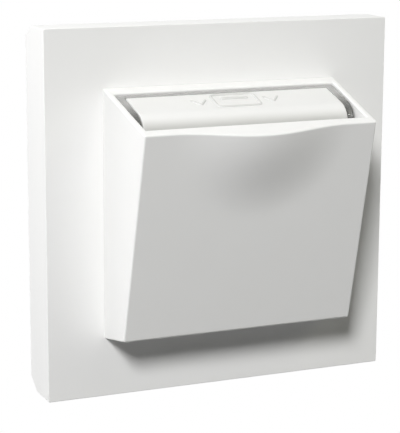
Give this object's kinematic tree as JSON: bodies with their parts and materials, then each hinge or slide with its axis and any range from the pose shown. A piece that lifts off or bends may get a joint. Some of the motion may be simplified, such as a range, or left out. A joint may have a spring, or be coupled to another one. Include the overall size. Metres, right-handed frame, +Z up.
{
  "type": "hotel key card switch",
  "caption": "Wall-mounted hotel key card switch: square cover frame, sloped card pocket with thumb bulge, lit lens strip, and a sprung lever that works a switch insert.",
  "frame": {"origin": "middle of the two wall-box screw slots, in the wall plane (back face of the mounting plate and of the cover frame)", "axes": "+Z up the wall, front of the switch towards -Y, +X to the right seen from the front"},
  "size_m": [0.088, 0.0644, 0.088],
  "materials": {
    "white_plastic": "satin moulded white",
    "white_strip": "smooth opal white",
    "clear_lens": "clear polished",
    "grey_plastic": "moulded grey",
    "dark_plastic": "moulded dark grey",
    "insert_plastic": "moulded off-white",
    "galvanised_steel": "galvanised sheet",
    "screw_steel": "zinc plated",
    "spring_steel": "drawn spring wire and strip",
    "brass": "stamped brass",
    "silver": "contact silver",
    "board": "white lamp board",
    "lamp_resin": "clear resin",
    "resistor_body": "lacquered"
  },
  "bodies": {
    "insert": {"mounting_plate": "galvanised_steel", "switch_base": "grey_plastic", "switch_cover": "insert_plastic", "cover_screws": "screw_steel", "terminal_blocks": "brass", "terminal_screws": "screw_steel", "fixed_contacts": "brass", "fixed_tips": "silver", "plunger_spring": "spring_steel", "led_board": "board", "indicator_leds": "lamp_resin", "series_resistor": "resistor_body", "lamp_pins": "brass"},
    "frame": {"cover_frame": "white_plastic"},
    "holder": {"card_holder": "white_plastic", "card_guide": "insert_plastic", "guide_screws": "screw_steel", "light_lens": "clear_lens", "label_strip": "white_strip", "card_springs": "spring_steel", "lever_pin": "screw_steel"},
    "lever": {"card_lever": "dark_plastic"},
    "plunger": {"plunger": "insert_plastic", "contact_bridge": "brass", "bridge_tips": "silver"}
  },
  "joints": [
    {"name": "frame_pull", "type": "slide", "parent": "insert", "child": "frame", "axis": [0, -1, 0], "range_m": [0, 0.045]},
    {"name": "holder_pull", "type": "slide", "parent": "insert", "child": "holder", "axis": [0, -1, 0], "range_m": [0, 0.03]},
    {"name": "lever_swing", "type": "hinge", "parent": "holder", "child": "lever", "pos_m": [0, -0.02218, 0.002], "axis": [1, 0, 0], "range_deg": [0, 9.5]},
    {"name": "plunger_push", "type": "slide", "parent": "insert", "child": "plunger", "axis": [0, 1, 0], "range_m": [0, 0.00151], "stiffness_N_per_m": 370, "deforming": ["plunger_spring"]}
  ],
  "couplings": [
    {"joint": "lever_swing", "follows": "plunger_push", "rad_per_m": 104.03}
  ]
}
